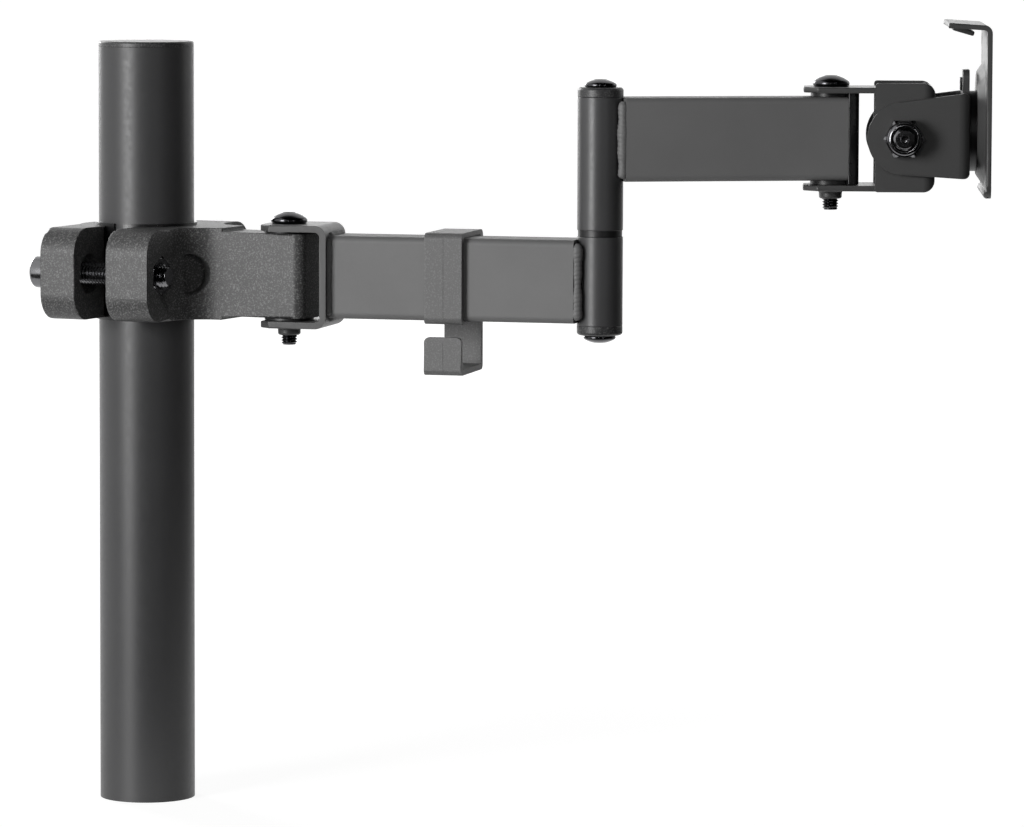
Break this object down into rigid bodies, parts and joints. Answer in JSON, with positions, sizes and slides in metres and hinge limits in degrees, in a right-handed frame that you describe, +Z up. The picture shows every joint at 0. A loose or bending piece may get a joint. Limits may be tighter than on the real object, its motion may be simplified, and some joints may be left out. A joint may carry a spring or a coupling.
{
  "type": "tilting monitor mount",
  "caption": "Articulated arm for a flat monitor: a split collar grips a round pole and carries hinged box-section arms, a swivel and tilt head, a turning plate and a cable clip.",
  "frame": {"origin": "centre of the pole's foot, in the plane of its lower end", "axes": "+Z up along the pole, +X the way the monitor plate faces, +Y to the plate's left seen from behind the head"},
  "size_m": [0.3488, 0.1016, 0.2892],
  "materials": {
    "painted_steel": "satin black powder coat",
    "cast_aluminium": "fine-textured black powder coat on castings",
    "black_fasteners": "glossy black zinc",
    "black_plastic": "fine matt moulded texture"
  },
  "bodies": {
    "pole": {"pole_tube": "painted_steel", "pole_top_cap": "black_plastic", "pole_foot_plug": "black_fasteners"},
    "liner": {"liner_back_half": "black_plastic", "liner_nose_half": "black_plastic"},
    "collar": {"collar_back_half": "cast_aluminium", "collar_nose_half": "cast_aluminium", "collar_bolts": "black_fasteners", "collar_nuts": "black_fasteners", "collar_washers": "black_fasteners", "nose_bush": "black_plastic"},
    "arm_1": {"base_bracket": "painted_steel", "arm_1_tube": "painted_steel", "arm_1_barrel": "painted_steel", "arm_1_welds": "painted_steel", "base_screw": "black_fasteners", "base_washers": "black_plastic", "elbow_pin": "black_fasteners", "elbow_washer": "black_plastic", "elbow_top_cap": "black_plastic", "elbow_bottom_cap": "black_plastic", "elbow_top_screw": "black_fasteners", "elbow_bottom_screw": "black_fasteners"},
    "clip": {"cable_clip": "black_plastic"},
    "arm_2": {"arm_2_tube": "painted_steel", "arm_2_barrel": "painted_steel", "arm_2_welds": "painted_steel", "elbow_bushes": "black_plastic", "arm_2_spacer": "black_fasteners", "arm_2_end_plug": "black_plastic"},
    "swivel": {"swivel_bracket": "painted_steel", "swivel_screw": "black_fasteners", "swivel_washers": "black_plastic"},
    "tilt": {"tilt_clevis": "painted_steel", "tilt_bolt": "black_fasteners", "tilt_nut": "black_fasteners", "tilt_washers": "black_plastic", "plate_rivet": "black_fasteners", "friction_disc": "black_plastic"},
    "plate": {"monitor_plate": "painted_steel"}
  },
  "joints": [
    {"name": "collar_lift", "type": "slide", "parent": "pole", "child": "liner", "axis": [0, 0, 1], "range_m": [-0.15, 0.06]},
    {"name": "collar_turn", "type": "hinge", "parent": "liner", "child": "collar", "pos_m": [0, 0, 0.1958], "axis": [0, 0, 1], "continuous": true},
    {"name": "arm_1_swing", "type": "hinge", "parent": "collar", "child": "arm_1", "pos_m": [0.0547, -0.0221, 0.1958], "axis": [0, 0, 1], "range_deg": [-111, 89]},
    {"name": "clip_slide", "type": "slide", "parent": "arm_1", "child": "clip", "axis": [0.9816, -0.1908, 0], "range_m": [-0.032, 0.034]},
    {"name": "elbow", "type": "hinge", "parent": "arm_1", "child": "arm_2", "pos_m": [0.16857, -0.04424, 0.2468], "axis": [0, 0, 1], "continuous": true},
    {"name": "head_swivel", "type": "hinge", "parent": "arm_2", "child": "swivel", "pos_m": [0.2512, -0.02516, 0.2468], "axis": [0, 0, 1], "range_deg": [-77, 103]},
    {"name": "head_tilt", "type": "hinge", "parent": "swivel", "child": "tilt", "pos_m": [0.2772, -0.02516, 0.24765], "axis": [0, 1, 0], "range_deg": [-45, 45]},
    {"name": "plate_turn", "type": "hinge", "parent": "tilt", "child": "plate", "pos_m": [0.308, -0.02516, 0.24965], "axis": [1, 0, 0], "continuous": true}
  ]
}
